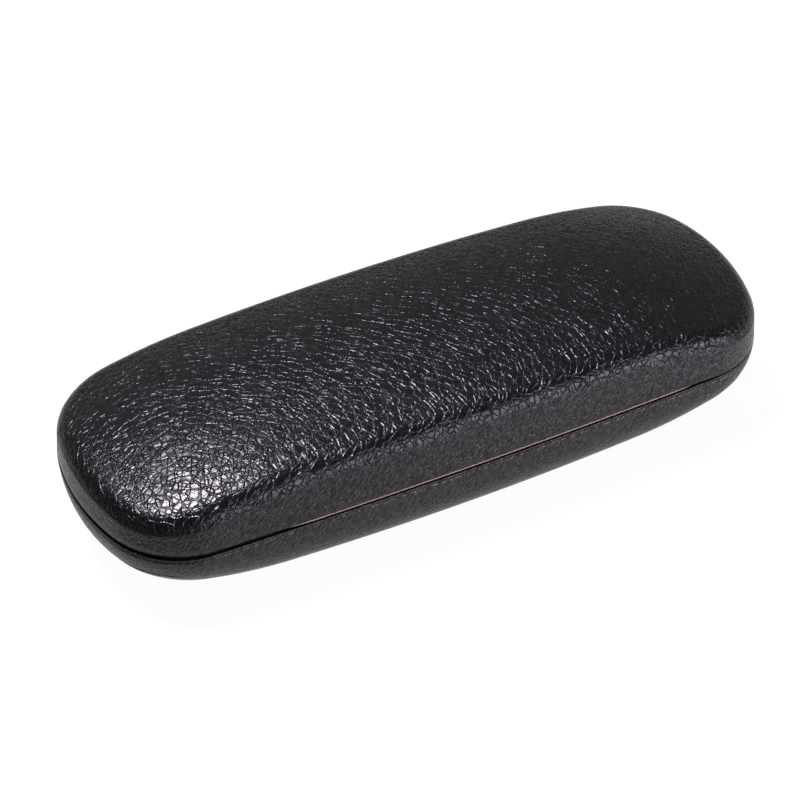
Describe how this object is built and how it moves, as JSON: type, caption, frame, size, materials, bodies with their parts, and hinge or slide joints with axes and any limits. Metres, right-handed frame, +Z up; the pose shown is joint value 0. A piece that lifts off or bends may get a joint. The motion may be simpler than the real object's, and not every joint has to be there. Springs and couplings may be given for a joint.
{
  "type": "eyeglasses case",
  "caption": "Hard clamshell eyeglasses case: leather-covered pressed-steel lid and base with a lined hollow, a rear knuckle hinge and snap springs.",
  "frame": {"origin": "centre of the flat rest land under the base", "axes": "+X along the case's length, -Y towards the front that opens, +Y towards the hinge, +Z up"},
  "size_m": [0.16, 0.0587, 0.0378],
  "materials": {
    "cover_leather": "satin pebbled",
    "shell_steel": "as rolled",
    "padding_foam": "open-cell foam",
    "lining": "flocked, copper brown",
    "collar_board": "black paper-covered board",
    "hinge_steel": "nickel plated, fine brushed",
    "rivet_steel": "nickel plated, polished",
    "spring_steel": "blued spring steel"
  },
  "bodies": {
    "base": {"base_cover": "cover_leather", "base_shell": "shell_steel", "base_padding": "padding_foam", "base_liner": "lining", "base_collar": "collar_board", "base_hinge_leaf": "hinge_steel", "base_rivets": "rivet_steel", "hinge_pin": "rivet_steel", "snap_spring_left": "spring_steel", "snap_spring_right": "spring_steel"},
    "lid": {"lid_cover": "cover_leather", "lid_shell": "shell_steel", "lid_padding": "padding_foam", "lid_liner": "lining", "lid_hinge_leaf": "hinge_steel", "lid_rivets": "rivet_steel"}
  },
  "joints": [
    {"name": "lid_hinge", "type": "hinge", "parent": "base", "child": "lid", "pos_m": [0, 0.02814, 0.0196], "axis": [-1, 0, 0], "range_deg": [0, 105], "deforming": ["snap_spring_left", "snap_spring_right"]}
  ]
}
